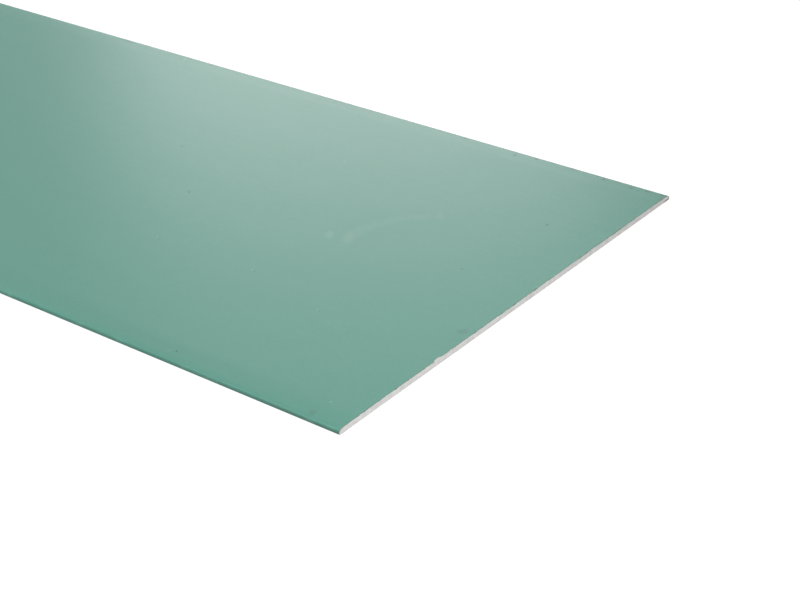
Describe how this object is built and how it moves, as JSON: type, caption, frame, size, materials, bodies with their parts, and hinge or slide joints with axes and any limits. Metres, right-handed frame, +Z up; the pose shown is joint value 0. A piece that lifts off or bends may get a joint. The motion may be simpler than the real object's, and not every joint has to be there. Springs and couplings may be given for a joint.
{
  "type": "drywall sheet",
  "caption": "Moisture-resistant drywall sheet: gypsum core in green face paper folded round its half-round tapered long edges, with grey back paper.",
  "frame": {"origin": "middle of the sheet's back, on the surface that it lies on", "axes": "+X along the length, towards one cut end; +Y across the width; +Z up, out of the green face"},
  "size_m": [2.5, 1.2, 0.0125],
  "materials": {
    "gypsum": "matte",
    "face_paper": "matte",
    "back_paper": "matte"
  },
  "bodies": {
    "root": {"gypsum_core": "gypsum", "face_paper": "face_paper", "back_paper": "back_paper"}
  },
  "joints": []
}
